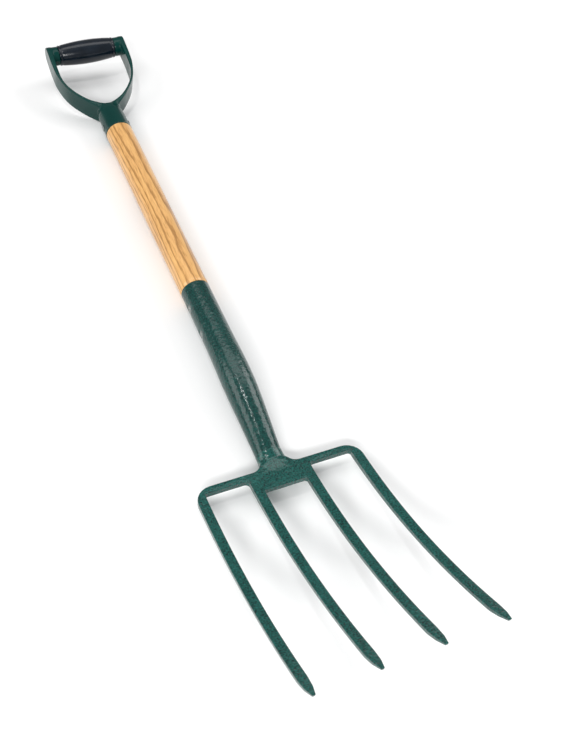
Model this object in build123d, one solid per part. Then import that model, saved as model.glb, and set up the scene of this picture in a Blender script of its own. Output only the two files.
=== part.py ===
from build123d import *
import math
import os

os.makedirs("parts", exist_ok=True)

# Garden digging fork, millimetres. Working axes while the pieces are made:
# Y runs up the shaft towards the hand grip, X across the fork, Z out of the front (hollow) side.
# Y = 0 is the mouth of the steel socket, where the bare wood begins.

# ash shaft
shaft_d_low = 35.8          # at the socket mouth
shaft_d_high = 36.4         # at the grip collar
shaft_exposed = 307.0       # bare wood between socket and collar
shaft_tenon_depth = 125.0   # wood hidden in the socket
shaft_spigot_depth = 36.0   # wood hidden in the grip collar
shaft_tenon_taper = 1.6     # the tenon loses this much radius towards its end
shaft_end_chamfer = 4.0
spigot_chamfer = 2.0
collar_wall = 2.4           # plastic left round the spigot
wood_fit = 0.25             # gap between wood and what it is driven into

# steel socket: a tube, swelled at mid length, necked down and cranked to the back
socket_wall = 2.0
socket_straight = 100.0     # length that keeps the shaft's own line
socket_length = 236.0
socket_swell_at = 143.0
socket_swell = 1.2          # extra radius at the fullest place
socket_swell_reach = 45.0   # how far the swell spreads either way
socket_taper = 0.3          # radius lost from mouth to neck, before the necking
necking_power = 1.6         # higher keeps the tube full for longer
neck_half_width = 15.2
neck_half_depth = 12.6
neck_drop = 17.0            # how far the neck centre lies behind the shaft line
socket_stations = 9

# weld between tube and forging, ground nearly flush
weld_width = 5.0
weld_proud = 0.35           # the crown of the bead
weld_edge_proud = 0.05      # its edges
plug_length = 16.0          # neck of the forging inside the tube
plug_fit = 0.25

# forged head: crossbar, centre plate and four tines
neck_length = 18.0          # from the weld to the back edge of the crossbar
neck_root_depth = 10.0      # the neck sinks this far into the plate
crossbar_width = 8.2        # of the outer arms, along the fork
plate_width = 26.5          # of the centre plate, along the fork
outer_tine_x = 89.8         # tine centre lines at the crossbar
inner_tine_x = 29.9
outer_tip_x = 92.9          # tine centre lines at the tips
inner_tip_x = 30.3
tine_width_root = 10.7
tine_width_tip = 9.9
tine_length = 279.0         # along the fork, crossbar back edge to tip
tine_thick_root = 9.5
tine_thick_tip = 5.2
head_step = 6.0             # crossbar face in front of the neck centre
under_neck = 16.0           # the plate runs this far back under the neck
tip_rise = 120.0            # tips stand this far in front of the crossbar face
root_angle = 6.4            # slope of the front face at the crossbar, degrees
tip_angle = 36.0            # slope of the tines at the tips, degrees
thinning = 1.2              # the back starts this much steeper than the front, degrees
point_length = 21.0
point_width = 2.8
point_thick = 2.6
point_shoulder = 0.45       # where the point's sides bend, as a share of its length
point_fullness = 0.70       # how much of the width is left there
shoulder_radius = 19.0
inner_corner_radius = 3.0
plate_corner_radius = 5.0
neck_fillet_radius = 12.0
neck_inset = 1.0            # the plate under the neck is this much narrower each side

# rivets through the socket
rivet_d = 5.0
rivet_head_d = 9.4
rivet_head_t = 1.7
rivet_sunk = 0.6            # the heads sit this far below the tube surface
rivet_fit = 0.05
rivet_upper_y = -27.0
rivet_lower_y = -68.5

# moulded grip frame
grip_above_rim = 160.2      # from the collar rim up to the hand bar axis
grip_z = 24.0               # the hand bar lies this far in front of the shaft line
frame_tilt = 14.0           # the frame leans forward, degrees
frame_half_width = 56.2
arm_thick = 6.8
lug_radius = 13.6
boss_radius = 13.0
boss_length = 9.4           # of the boss on the inside of each arm
core_radius = 9.0
frame_depth = 34.0          # front to back, where the arms join the collar
web_half_width = 9.0        # of the flat foot of the frame, inside the collar
mould_draft = 2.4           # the hand opening widens this much towards the back
frame_low = 116.0           # from the hand bar axis down to where the arms leave the collar
hole_low = 107.2            # from the hand bar axis down to the bottom of the hand opening
collar_step = 0.05          # the collar stands this much above the wood
collar_taper = 0.7          # radius the collar loses from rim to top
collar_length = 40.6
collar_lip = 0.35
lip_length = 1.6
nose_inset = 2.6            # the collar is this much narrower where it meets the web

# soft grip sleeve
sleeve_end_radius = 14.0
sleeve_mid_radius = 16.4
sleeve_fit = 0.1
sleeve_bead = 2.0           # width of the band at each end
sleeve_step = 0.4           # the bands lie this much below the barrel

# pin that holds the collar on the shaft
pin_d = 5.0
pin_head_d = 9.0
pin_head_t = 1.6
pin_above_rim = 16.5
pin_proud = 0.9             # the heads stand this far out of the collar


def socket_centre_z(y):
    """Centre line of the socket: straight, then an easy bend down to the neck."""
    run = max(0.0, -y - socket_straight) / (socket_length - socket_straight)
    return -neck_drop * run * run * (3.0 - run) / 2.0


def socket_radii(y):
    """Half width and half depth of the socket outside, at a place along it."""
    along = -y / socket_length
    swell = socket_swell * math.exp(-((-y - socket_swell_at) / socket_swell_reach) ** 2)
    past_swell = max(0.0, -y - socket_swell_at) / (socket_length - socket_swell_at)
    necking = past_swell ** necking_power
    mouth = shaft_d_low / 2.0
    full = mouth - socket_taper * along + swell
    half_width = full + (neck_half_width - mouth) * necking
    half_depth = full + (neck_half_depth - mouth) * necking
    return half_width, half_depth


def socket_section(y, inset):
    """Oval across the socket, drawn in from the outer surface by the inset."""
    half_width, half_depth = socket_radii(y)
    plane = Plane(origin=(0, y, socket_centre_z(y)), x_dir=(1, 0, 0), z_dir=(0, -1, 0))
    return plane * Ellipse(half_width - inset, half_depth - inset)


def turned(points):
    """Solid of revolution about the shaft line from (radius, y) points."""
    profile = make_face(Polyline(*[(r, y) for r, y in points], close=True))
    return revolve(profile, Axis.Y)


def cross_pin(y, half_length, shank_d, head_d, head_t, sunk_fit):
    """Rivet lying along X: a shank with a cone head at each end."""
    r = shank_d / 2.0 + sunk_fit
    rh = head_d / 2.0 + sunk_fit
    points = [
        (-half_length, 0),
        (-half_length, rh),
        (-half_length + head_t, r),
        (half_length - head_t, r),
        (half_length, rh),
        (half_length, 0),
    ]
    profile = make_face(Polyline(*points, close=True))
    return Pos(0, y, 0) * revolve(profile, Axis.X)


# ---------------------------------------------------------------- forged head
neck_y = -socket_length - weld_width
neck_z = socket_centre_z(-socket_length)
head_back_y = neck_y - neck_length
head_front_z = neck_z + head_step
tip_y = head_back_y - tine_length
root_slope = math.tan(math.radians(root_angle))
tip_slope = math.tan(math.radians(tip_angle))


def tine_edge_x(root_x, tip_x, y, side):
    """One side of a tine in plan; side is -1 or +1."""
    run = (head_back_y - y) / tine_length
    centre = root_x + (tip_x - root_x) * run
    half = (tine_width_root + (tine_width_tip - tine_width_root) * run) / 2.0
    return centre + side * half


def tine_plan(root_x, tip_x, outer_start_y, inner_start_y):
    """Plan points of one tine, down its outer side, round the point, up its inner side."""
    taper_y = tip_y + point_length
    bend_y = tip_y + point_shoulder * point_length
    half_end = point_width / 2.0
    half_bend = half_end + point_fullness * (tine_width_tip / 2.0 - half_end)
    return [
        (tine_edge_x(root_x, tip_x, outer_start_y, 1), outer_start_y),
        (tine_edge_x(root_x, tip_x, taper_y, 1), taper_y),
        (tip_x + half_bend, bend_y),
        (tip_x + half_end, tip_y),
        (tip_x - half_end, tip_y),
        (tip_x - half_bend, bend_y),
        (tine_edge_x(root_x, tip_x, taper_y, -1), taper_y),
        (tine_edge_x(root_x, tip_x, inner_start_y, -1), inner_start_y),
    ]


crossbar_y = head_back_y - crossbar_width
plate_y = head_back_y - plate_width
neck_side = neck_half_width - neck_inset
half_plan = (
    [(0, neck_y), (neck_side, neck_y), (neck_side, head_back_y)]
    + tine_plan(outer_tine_x, outer_tip_x, head_back_y, crossbar_y)
    + tine_plan(inner_tine_x, inner_tip_x, crossbar_y, plate_y)
    + [(0, plate_y)]
)
half_face = make_face(Polyline(*half_plan, close=True))


def corner(x, y):
    """The plan corner nearest to a place."""
    return half_face.vertices().sort_by_distance((x, y, 0))[0]


half_face = fillet([corner(tine_edge_x(outer_tine_x, outer_tip_x, head_back_y, 1), head_back_y)],
                   shoulder_radius)
half_face = fillet([corner(neck_side, head_back_y)], neck_fillet_radius)
half_face = fillet([corner(tine_edge_x(outer_tine_x, outer_tip_x, crossbar_y, -1), crossbar_y),
                    corner(tine_edge_x(inner_tine_x, inner_tip_x, plate_y, -1), plate_y)],
                   inner_corner_radius)
half_face = fillet([corner(tine_edge_x(inner_tine_x, inner_tip_x, crossbar_y, 1), crossbar_y)],
                   plate_corner_radius)
plan_face = half_face + mirror(half_face, about=Plane.YZ)

# side view of the blade: the front face is one parabola from crossbar to tips
front_start = (head_back_y + under_neck, head_front_z)
front_end = (tip_y, head_front_z + tip_rise)
reach = front_start[0] - front_end[0]
lean = (tip_rise - tip_slope * reach) / (root_slope - tip_slope)
front_bend = (front_start[0] - lean, front_start[1] + root_slope * lean)


def behind(point, angle, depth):
    """Point a depth below the front face, square to a face that rises at the angle."""
    a = math.radians(angle)
    return (point[0] - depth * math.sin(a), point[1] - depth * math.cos(a))


back_start = behind(front_start, root_angle, tine_thick_root)
back_end = behind(front_end, tip_angle, tine_thick_tip)
back_reach = back_start[0] - back_end[0]
back_slope = math.tan(math.radians(root_angle + thinning))
back_lean = (back_end[1] - back_start[1] - tip_slope * back_reach) / (back_slope - tip_slope)
back_bend = (back_start[0] - back_lean, back_start[1] + back_slope * back_lean)

head_half = outer_tip_x + shoulder_radius
side_plane = Plane(origin=(-head_half, 0, 0), x_dir=(0, 1, 0), z_dir=(1, 0, 0))
side_line = (
    Bezier(front_start, front_bend, front_end)
    + Line(front_end, back_end)
    + Bezier(back_end, back_bend, back_start)
    + Line(back_start, front_start)
)
blade = extrude(side_plane * make_face(side_line), amount=2 * head_half)
plan_floor = head_front_z - 3 * tine_thick_root
blade = blade & extrude(Plane.XY.offset(plan_floor) * plan_face, amount=6 * tine_thick_root + tip_rise)

# each tine is ground to a thin blunt point: the back slopes up to meet the front
along_tip = (math.cos(math.radians(tip_angle)), -math.sin(math.radians(tip_angle)))
blunt_end = behind(front_end, tip_angle, point_thick)
point_foot = (back_end[0] + point_length * along_tip[0], back_end[1] + point_length * along_tip[1])
grind = make_face(Polyline(blunt_end, point_foot, behind(point_foot, tip_angle, tine_thick_tip),
                           behind(back_end, tip_angle, tine_thick_tip),
                           (blunt_end[0] - tine_thick_tip, blunt_end[1]), close=True))
blade = blade - extrude(side_plane * grind, amount=2 * head_half)

# neck: an oval stub that carries on the line of the socket and sinks into the plate
neck_root_y = head_back_y - neck_root_depth
plate_z = head_front_z - tine_thick_root / 2.0


def neck_section(y, half_width, half_depth, z):
    """Oval across the neck."""
    return Plane(origin=(0, y, z), x_dir=(1, 0, 0), z_dir=(0, -1, 0)) * Ellipse(half_width, half_depth)


neck = loft([
    neck_section(neck_y, neck_half_width, neck_half_depth, neck_z),
    neck_section(head_back_y + neck_length / 3.0, neck_half_width, 0.95 * neck_half_depth, neck_z),
    neck_section(neck_root_y, neck_half_width + neck_inset, 0.44 * tine_thick_root, plate_z),
])
plug = loft([
    socket_section(neck_y - 1.0, socket_wall + plug_fit),
    socket_section(neck_y + weld_width + plug_length, socket_wall + plug_fit),
])
fork_head = blade + neck + plug

# ---------------------------------------------------------------- socket and weld
stations = [-socket_length * i / (socket_stations - 1) for i in range(socket_stations)]
outer_tube = loft([socket_section(y, 0.0) for y in stations])
inner_tube = loft([socket_section(y, socket_wall) for y in stations])
socket = outer_tube - inner_tube

weld_top = neck_y + weld_width
weld_outer = loft([
    socket_section(weld_top, -weld_edge_proud),
    socket_section((weld_top + neck_y) / 2.0, -weld_proud),
    socket_section(neck_y, -weld_edge_proud),
])
neck_weld = weld_outer - plug

# ---------------------------------------------------------------- shaft
r_low = shaft_d_low / 2.0
r_high = shaft_d_high / 2.0
tenon_r = r_low - socket_wall - wood_fit
tenon_end_r = tenon_r - shaft_tenon_taper
spigot_r = r_high + collar_step - collar_wall - wood_fit
shaft = turned([
    (0, -shaft_tenon_depth),
    (tenon_end_r - shaft_end_chamfer, -shaft_tenon_depth),
    (tenon_end_r, -shaft_tenon_depth + shaft_end_chamfer),
    (tenon_r, 0),
    (r_low, 0),
    (r_high, shaft_exposed),
    (spigot_r, shaft_exposed),
    (spigot_r, shaft_exposed + shaft_spigot_depth - spigot_chamfer),
    (spigot_r - spigot_chamfer, shaft_exposed + shaft_spigot_depth),
    (0, shaft_exposed + shaft_spigot_depth),
])

# ---------------------------------------------------------------- socket rivets
rivets = []
for y in (rivet_upper_y, rivet_lower_y):
    half_length = socket_radii(y)[0] - rivet_sunk
    rivet = cross_pin(y, half_length, rivet_d, rivet_head_d, rivet_head_t, 0.0)
    seat = cross_pin(y, half_length, rivet_d, rivet_head_d, rivet_head_t, rivet_fit)
    bore_r = rivet_head_d / 2.0 + rivet_fit
    bore = Pos(0, y, 0) * Rot(0, 90, 0) * Cylinder(bore_r, 4 * half_length)
    well = bore - Pos(0, y, 0) * Box(2 * half_length, 3 * bore_r, 3 * bore_r)
    socket = socket - seat - well
    shaft = shaft - seat
    rivets.append(rivet)

# ---------------------------------------------------------------- grip frame
rim_y = shaft_exposed
grip_y = rim_y + grip_above_rim
tilt = math.radians(frame_tilt)
frame_plane = Plane(origin=(0, grip_y, grip_z), x_dir=(1, 0, 0),
                    z_dir=(0, -math.sin(tilt), math.cos(tilt)))
top = lug_radius + 1.0
side = frame_half_width

# the arm outlines, as shares of the half width and of the height below the hand bar
outer_shape = [(1.0, 0.0), (1.0, 0.21), (0.97, 0.40), (0.83, 0.62), (0.55, 0.815), (0.30, 0.94)]
inner_shape = [(0.984, 0.0), (1.016, 0.283), (0.98, 0.54), (0.765, 0.75), (0.42, 0.92), (0.0, 1.0)]


def outer_outline():
    """Half outline of the frame, hand bar at the top and the foot in the collar."""
    points = [(side * u, -frame_low * v) for u, v in outer_shape] + [(web_half_width, -frame_low)]
    return (
        Line((0, top), (side, top))
        + Line((side, top), points[0])
        + Spline(*points, tangents=[(0, -1), (-1, -0.9)])
        + Line(points[-1], (0, -frame_low))
        + Line((0, -frame_low), (0, top))
    )


def hand_opening(grow):
    """Half outline of the hand opening, let out all round by the draft."""
    reach = side - arm_thick + grow
    points = [(reach * u, -(hole_low + grow) * v) for u, v in inner_shape]
    above = top + 1.0
    return (
        Line((0, above), (points[0][0], above))
        + Line((points[0][0], above), points[0])
        + Spline(*points, tangents=[(0.05, -1), (-1, 0)])
        + Line(points[-1], (0, above))
    )


def both_halves(half_outline):
    """Face from a half outline and its mirror image."""
    half = make_face(half_outline)
    return half + mirror(half, about=Plane.YZ)


half_depth = frame_depth / 2.0
slab = extrude(frame_plane.offset(-half_depth - 1.0) * both_halves(outer_outline()),
               amount=frame_depth + 2.0)
opening = loft([
    frame_plane.offset(-half_depth - 1.0) * both_halves(hand_opening(mould_draft / 2.0)),
    frame_plane.offset(half_depth + 1.0) * both_halves(hand_opening(-mould_draft / 2.0)),
])
strap = slab - opening

# side view of the arms: a round lug about the hand bar, deeper towards the collar
full_depth_at = -0.785 * frame_low
below = -frame_low - 2.0
arm_side = Circle(lug_radius) + make_face(Polyline(
    (0, lug_radius), (full_depth_at, half_depth), (below, half_depth),
    (below, -half_depth), (full_depth_at, -half_depth), (0, -lug_radius), close=True))
local_side = Plane(origin=(-2 * side, grip_y, grip_z), x_dir=(0, math.cos(tilt), math.sin(tilt)),
                   z_dir=(1, 0, 0))
strap = strap & extrude(local_side * arm_side, amount=4 * side)


def bar(radius, half_length):
    """Cylinder about the hand bar axis."""
    return Pos(0, grip_y, grip_z) * Rot(0, 90, 0) * Cylinder(radius, 2 * half_length)


sleeve_half_length = side - arm_thick - boss_length
bosses = bar(boss_radius, side - arm_thick / 3.0) - bar(2 * boss_radius, sleeve_half_length)
core = bar(core_radius, sleeve_half_length + 2.0)

# collar: a short tube on the shaft line that runs into the web below the hand opening
collar_radius = r_high + collar_step
collar_top_radius = collar_radius - collar_taper
collar_top_y = rim_y + collar_length
collar = turned([
    (0, rim_y),
    (collar_radius + collar_lip, rim_y),
    (collar_radius + collar_lip, rim_y + lip_length),
    (collar_radius, rim_y + 2 * lip_length),
    (collar_top_radius, collar_top_y),
    (0, collar_top_y),
])
web_y = grip_y - hole_low * math.cos(tilt) - half_depth * math.sin(tilt)
web_z = grip_z - hole_low * math.sin(tilt) + half_depth * math.cos(tilt)


def collar_section(y, half_width, half_depth, z):
    """Oval across the collar."""
    return Plane(origin=(0, y, z), x_dir=(1, 0, 0), z_dir=(0, 1, 0)) * Ellipse(half_width, half_depth)


nose_drop = collar_top_radius - web_z
nose = loft([
    collar_section(collar_top_y, collar_top_radius, collar_top_radius, 0),
    collar_section((collar_top_y + web_y) / 2.0, collar_top_radius - 0.2 * nose_inset,
                   collar_top_radius - 0.2 * nose_drop, -0.1 * nose_drop),
    collar_section(web_y - 0.3, collar_top_radius - nose_inset,
                   collar_top_radius - nose_drop, 0),
])
grip_frame = strap + bosses + core + collar + nose
socket_in_collar = turned([
    (0, rim_y - 1.0),
    (spigot_r + wood_fit, rim_y - 1.0),
    (spigot_r + wood_fit, rim_y + shaft_spigot_depth + wood_fit),
    (0, rim_y + shaft_spigot_depth + wood_fit),
])
grip_frame = grip_frame - socket_in_collar

# pin through collar and shaft
pin_half = collar_radius + pin_proud
pin_y = rim_y + pin_above_rim
pin = cross_pin(pin_y, pin_half, pin_d, pin_head_d, pin_head_t, 0.0)
pin_seat = cross_pin(pin_y, pin_half, pin_d, pin_head_d, pin_head_t, rivet_fit)
grip_frame = grip_frame - pin_seat
shaft = shaft - pin_seat

# soft sleeve over the hand bar: a barrel with a small bead at each end
end_x = sleeve_half_length - sleeve_fit
band_x = end_x - sleeve_bead
bore_r = core_radius + sleeve_fit
band_r = sleeve_end_radius - sleeve_step
sleeve_profile = (
    Polyline((-band_x, sleeve_end_radius), (-band_x, band_r), (-end_x, band_r), (-end_x, bore_r),
             (end_x, bore_r), (end_x, band_r), (band_x, band_r), (band_x, sleeve_end_radius))
    + ThreePointArc((band_x, sleeve_end_radius), (0, sleeve_mid_radius),
                    (-band_x, sleeve_end_radius))
)
grip_sleeve = Pos(0, grip_y, grip_z) * revolve(make_face(sleeve_profile), Axis.X)

# ---------------------------------------------------------------- at rest on its back
# The fork lies on the heel of its neck and on the foot of the grip frame. It is turned about X
# until both touch the ground, then moved so the ground is Z = 0 and its middle is X = Y = 0.
heel = (neck_y, neck_z - neck_half_depth)
foot = (grip_y - frame_low * math.cos(tilt) + half_depth * math.sin(tilt),
        grip_z - frame_low * math.sin(tilt) - half_depth * math.cos(tilt))
rest_lean = math.degrees(math.atan2(foot[1] - heel[1], foot[0] - heel[0]))

pieces = {
    "fork_head": fork_head,
    "socket": socket,
    "neck_weld": neck_weld,
    "shaft": shaft,
    "socket_rivet_upper": rivets[0],
    "socket_rivet_lower": rivets[1],
    "grip_frame": grip_frame,
    "grip_sleeve": grip_sleeve,
    "collar_pin": pin,
}
turned_pieces = {name: piece.rotate(Axis.X, -rest_lean) for name, piece in pieces.items()}
boxes = [piece.bounding_box() for piece in turned_pieces.values()]
middle_x = (min(b.min.X for b in boxes) + max(b.max.X for b in boxes)) / 2.0
middle_y = (min(b.min.Y for b in boxes) + max(b.max.Y for b in boxes)) / 2.0
ground_z = min(b.min.Z for b in boxes)
for name, piece in turned_pieces.items():
    export_step(Pos(-middle_x, -middle_y, -ground_z) * piece, "parts/" + name + ".step")
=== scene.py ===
import math
from types import SimpleNamespace

import bpy
import numpy as np
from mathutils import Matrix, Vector
from mathutils.geometry import delaunay_2d_cdt


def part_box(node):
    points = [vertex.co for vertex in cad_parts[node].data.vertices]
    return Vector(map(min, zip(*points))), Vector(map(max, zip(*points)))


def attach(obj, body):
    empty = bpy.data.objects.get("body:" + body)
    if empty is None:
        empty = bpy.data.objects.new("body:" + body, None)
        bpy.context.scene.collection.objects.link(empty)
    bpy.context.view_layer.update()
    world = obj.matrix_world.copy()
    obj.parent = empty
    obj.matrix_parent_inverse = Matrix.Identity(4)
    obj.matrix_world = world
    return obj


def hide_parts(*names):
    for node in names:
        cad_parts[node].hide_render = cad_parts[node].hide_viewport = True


bl_info = {
    "name": "Digging Fork",
    "version": (1, 0, 0),
    "blender": (4, 5, 0),
    "location": "View3D > Sidebar > Fork",
    "description": "A D-handled digging fork with a steel head, an ash shaft and a moulded grip",
    "category": "Add Mesh",
}

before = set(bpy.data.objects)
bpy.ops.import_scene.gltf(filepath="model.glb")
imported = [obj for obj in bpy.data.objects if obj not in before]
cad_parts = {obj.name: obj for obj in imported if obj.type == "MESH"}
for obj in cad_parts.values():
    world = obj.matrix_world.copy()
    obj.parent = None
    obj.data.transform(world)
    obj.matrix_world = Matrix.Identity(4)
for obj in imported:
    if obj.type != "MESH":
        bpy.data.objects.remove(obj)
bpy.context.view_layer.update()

MM = 0.001


# ---------------------------------------------------------------- sizes and colours
def length(name, default_mm, description):
    """A length the user may change, kept in metres."""
    return bpy.props.FloatProperty(name=name, description=description, default=default_mm * MM,
                                   precision=5, unit="LENGTH")


def angle(name, default_degrees, description):
    """An angle the user may change, kept in radians."""
    return bpy.props.FloatProperty(name=name, description=description,
                                   default=math.radians(default_degrees), subtype="ANGLE")


def paint(name, default_hex, description):
    """A colour the user may change, as an sRGB hex value."""
    return bpy.props.StringProperty(name=name, description=description, default=default_hex)


class HeadSizes(bpy.types.PropertyGroup):
    """Sizes of the forged head."""
    neck_length: length("Neck length", 18.0, "From the weld to the back edge of the crossbar")
    neck_root: length("Neck root", 12.0, "How far the neck runs on over the centre plate")
    crossbar_width: length("Crossbar width", 8.2, "Of the outer arms, along the fork")
    plate_width: length("Plate width", 26.5, "Of the centre plate, along the fork")
    outer_tine_x: length("Outer tine place", 89.8, "Centre line of an outer tine at the crossbar")
    inner_tine_x: length("Inner tine place", 29.9, "Centre line of an inner tine at the crossbar")
    outer_tip_x: length("Outer tip place", 92.9, "Centre line of an outer tine at its tip")
    inner_tip_x: length("Inner tip place", 30.3, "Centre line of an inner tine at its tip")
    tine_width_root: length("Tine width at root", 10.7, "Across the front face at the crossbar")
    tine_width_tip: length("Tine width at tip", 9.9, "Across the front face where the point begins")
    tine_length: length("Tine length", 279.0, "Along the fork, crossbar back edge to tip")
    tine_thick_root: length("Tine thickness at root", 9.5, "At the crossbar")
    tine_thick_tip: length("Tine thickness at tip", 5.2, "Where the point begins")
    face_step: length("Face step", 6.0, "Crossbar face in front of the neck centre")
    face_start: length("Face start", 16.0, "Where the curve of the face begins, behind the crossbar")
    tip_rise: length("Tip rise", 120.0, "How far the tips stand in front of the crossbar face")
    root_angle: angle("Root slope", 6.4, "Slope of the front face at the crossbar")
    tip_angle: angle("Tip slope", 36.0, "Slope of the tines at the tips")
    point_length: length("Point length", 21.0, "Of the ground point of a tine")
    point_width: length("Point width", 2.8, "Across the blunt end")
    point_thick: length("Point thickness", 2.6, "Of the blunt end")
    shoulder_radius: length("Shoulder radius", 19.0, "Outer corners of the crossbar")
    neck_fillet: length("Neck fillet", 12.0, "Between neck and crossbar")
    edge_round: length("Edge rounding", 1.1, "Rounding of the forged edges under the paint")


class TubeSizes(bpy.types.PropertyGroup):
    """Sizes of the socket tube, its weld and its rivets."""
    mouth_d: length("Mouth diameter", 35.8, "Outside of the tube at its mouth")
    wall: length("Wall", 2.0, "Thickness of the tube")
    straight: length("Straight length", 100.0, "Length that keeps the shaft's own line")
    socket_length: length("Socket length", 236.0, "Mouth to weld")
    swell_at: length("Fullest place", 143.0, "Distance of the fullest place from the mouth")
    swell: length("Swell", 1.2, "Extra radius at the fullest place")
    swell_reach: length("Swell reach", 45.0, "How far the swell spreads either way")
    neck_half_width: length("Neck half width", 15.2, "Of the oval where tube meets head")
    neck_half_depth: length("Neck half depth", 12.6, "Of the oval where tube meets head")
    neck_drop: length("Neck drop", 17.0, "How far the neck lies behind the shaft line")
    weld_width: length("Weld width", 5.0, "Of the ground weld round the neck")
    weld_proud: length("Weld height", 0.06, "Crown of the weld over the tube")
    rivet_head_d: length("Rivet head", 9.0, "Diameter of a rivet head")
    rivet_upper: length("Upper rivet place", 27.0, "Distance from the mouth")
    rivet_lower: length("Lower rivet place", 68.5, "Distance from the mouth")
    dimple: length("Dimple depth", 1.5, "How far the tube is drawn in round a rivet")


class GripSizes(bpy.types.PropertyGroup):
    """Sizes of the shaft, the grip frame and its sleeve."""
    shaft_exposed: length("Bare shaft", 307.0, "Wood between socket and collar")
    shaft_d_high: length("Shaft at collar", 36.4, "Diameter of the wood at the collar")
    tenon_depth: length("Tenon", 125.0, "Wood hidden in the socket")
    spigot_depth: length("Spigot", 36.0, "Wood hidden in the collar")
    collar_wall: length("Collar wall", 2.4, "Plastic round the spigot")
    grip_above_rim: length("Grip height", 160.2, "From the collar rim up to the hand bar")
    grip_z: length("Grip offset", 24.0, "The hand bar lies this far in front of the shaft line")
    frame_tilt: angle("Frame tilt", 14.0, "The frame leans forward")
    half_width: length("Frame half width", 56.2, "Middle to the outside of an arm")
    arm_thick: length("Arm thickness", 6.8, "Of each strap")
    lug_radius: length("Lug radius", 13.6, "Round end of each arm")
    boss_radius: length("Boss radius", 13.0, "Of the stub between arm and sleeve")
    boss_length: length("Boss length", 9.4, "Of that stub")
    depth: length("Frame depth", 34.0, "Front to back where the arms join the collar")
    web_half: length("Web half width", 9.0, "Foot of the frame inside the collar")
    frame_low: length("Frame height", 116.0, "Hand bar down to where the arms leave the collar")
    hole_low: length("Opening height", 107.2, "Hand bar down to the foot of the hand opening")
    collar_length: length("Collar length", 40.6, "Rim to the web")
    collar_lip: length("Collar lip", 0.35, "Bead round the rim")
    nose_inset: length("Collar narrowing", 2.6, "How much narrower the collar ends at the web")
    sleeve_end_r: length("Sleeve end radius", 14.0, "Of the soft grip at its ends")
    sleeve_mid_r: length("Sleeve middle radius", 16.4, "Of the soft grip at its middle")
    sleeve_bore_r: length("Sleeve bore", 9.1, "Radius of the hole through the soft grip")
    pin_above_rim: length("Pin height", 16.5, "Collar pin above the rim")
    pin_head_d: length("Pin head", 9.0, "Diameter of the collar pin's head")
    pin_proud: length("Pin stand-out", 0.9, "How far the pin's head stands out")


class ForkColours(bpy.types.PropertyGroup):
    """Finishes, as sRGB hex values."""
    enamel_low: paint("Enamel, hollows", "#032A28", "Hammer enamel in its hollows")
    enamel_high: paint("Enamel, crowns", "#0E4B45", "Hammer enamel on the crowns of the tube")
    # painted sheen: the head's crowns are paler than the tube's for the light the up-facing forging
    # catches
    forging_painted_sheen: paint("Enamel, forging", "#1C6159", "Hammer enamel on the crowns of the forging")
    ash_light: paint("Ash, light", "#EBB974", "Lacquered ash between the grain lines")
    ash_mid: paint("Ash, middle", "#D6A160", "Lacquered ash, most of the wood")
    ash_dark: paint("Ash, dark", "#A8783F", "Open grain of the ash")
    green_plastic: paint("Grip frame", "#03332F", "Moulded plastic of the frame")
    black_grip: paint("Grip sleeve", "#09131D", "Soft sleeve")
    plated: paint("Rivets", "#9DA3A1", "Plated steel")
    floor: paint("Floor", "#F7F7F7", "Studio floor")


def read(group):
    """A property group's sizes as plain numbers, lengths in millimetres and angles in radians."""
    values = {}
    for name, made in group.bl_rna.properties.items():
        if made.type == "FLOAT":
            value = getattr(group, name)
            values[name] = value if made.subtype == "ANGLE" else value / MM
        elif made.type == "STRING" and name != "name":
            values[name] = getattr(group, name)
    return SimpleNamespace(**values)


def all_sizes():
    """Head, tube and grip sizes, with the places that follow from them."""
    scene = bpy.context.scene
    h, t, g = read(scene.fork_head), read(scene.fork_tube), read(scene.fork_grip)
    h.neck_y = -t.socket_length - t.weld_width
    h.neck_z = -t.neck_drop
    h.back_y = h.neck_y - h.neck_length
    h.face_z = h.neck_z + h.face_step
    h.tip_y = h.back_y - h.tine_length
    g.grip_y = g.shaft_exposed + g.grip_above_rim
    g.bar_half = g.half_width - g.arm_thick - g.boss_length
    g.collar_r = g.shaft_d_high / 2.0 + 0.05
    g.collar_top_r = g.collar_r - 0.7
    return h, t, g


# ---------------------------------------------------------------- mesh helpers
def placed(points):
    """Turns points in millimetres, on the fork's own axes, into metres as it lies on its back.
    The fork leans about X until neck heel and grip foot touch the ground, then moves so that
    the hand bar comes where the CAD has it."""
    h, t, g = all_sizes()
    heel = np.array([h.neck_y, h.neck_z - t.neck_half_depth])
    foot = np.array([
        g.grip_y - g.frame_low * math.cos(g.frame_tilt) + g.depth / 2 * math.sin(g.frame_tilt),
        g.grip_z - g.frame_low * math.sin(g.frame_tilt) - g.depth / 2 * math.cos(g.frame_tilt)])
    lean = -math.atan2(foot[1] - heel[1], foot[0] - heel[0])
    c, s = math.cos(lean), math.sin(lean)
    low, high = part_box("grip_sleeve")
    middle = (np.array(low) + np.array(high)) / 2.0 / MM
    points = np.asarray(points, float)
    y = (points[:, 1] - g.grip_y) * c - (points[:, 2] - g.grip_z) * s + middle[1]
    z = (points[:, 1] - g.grip_y) * s + (points[:, 2] - g.grip_z) * c + middle[2]
    return np.stack([points[:, 0], y, z], 1) * MM


def grid_faces(rows, columns, wrap_rows=False):
    """Quads over a grid of points whose columns close into a ring."""
    r = np.arange(rows if wrap_rows else rows - 1)[:, None]
    c = np.arange(columns)[None, :]
    r2, c2 = (r + 1) % rows, (c + 1) % columns
    quads = np.stack([r * columns + c, r2 * columns + c, r2 * columns + c2, r * columns + c2], 2)
    return quads.reshape(-1, 4)


def signed_volume(points, faces):
    """Six times the volume inside the faces; it is negative when they point inwards."""
    total = 0.0
    for f in faces:
        for k in range(1, f.shape[1] - 1):
            a, b, c = points[f[:, 0]], points[f[:, k]], points[f[:, k + 1]]
            total += np.einsum("ij,ij->i", a, np.cross(b, c)).sum()
    return total


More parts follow.
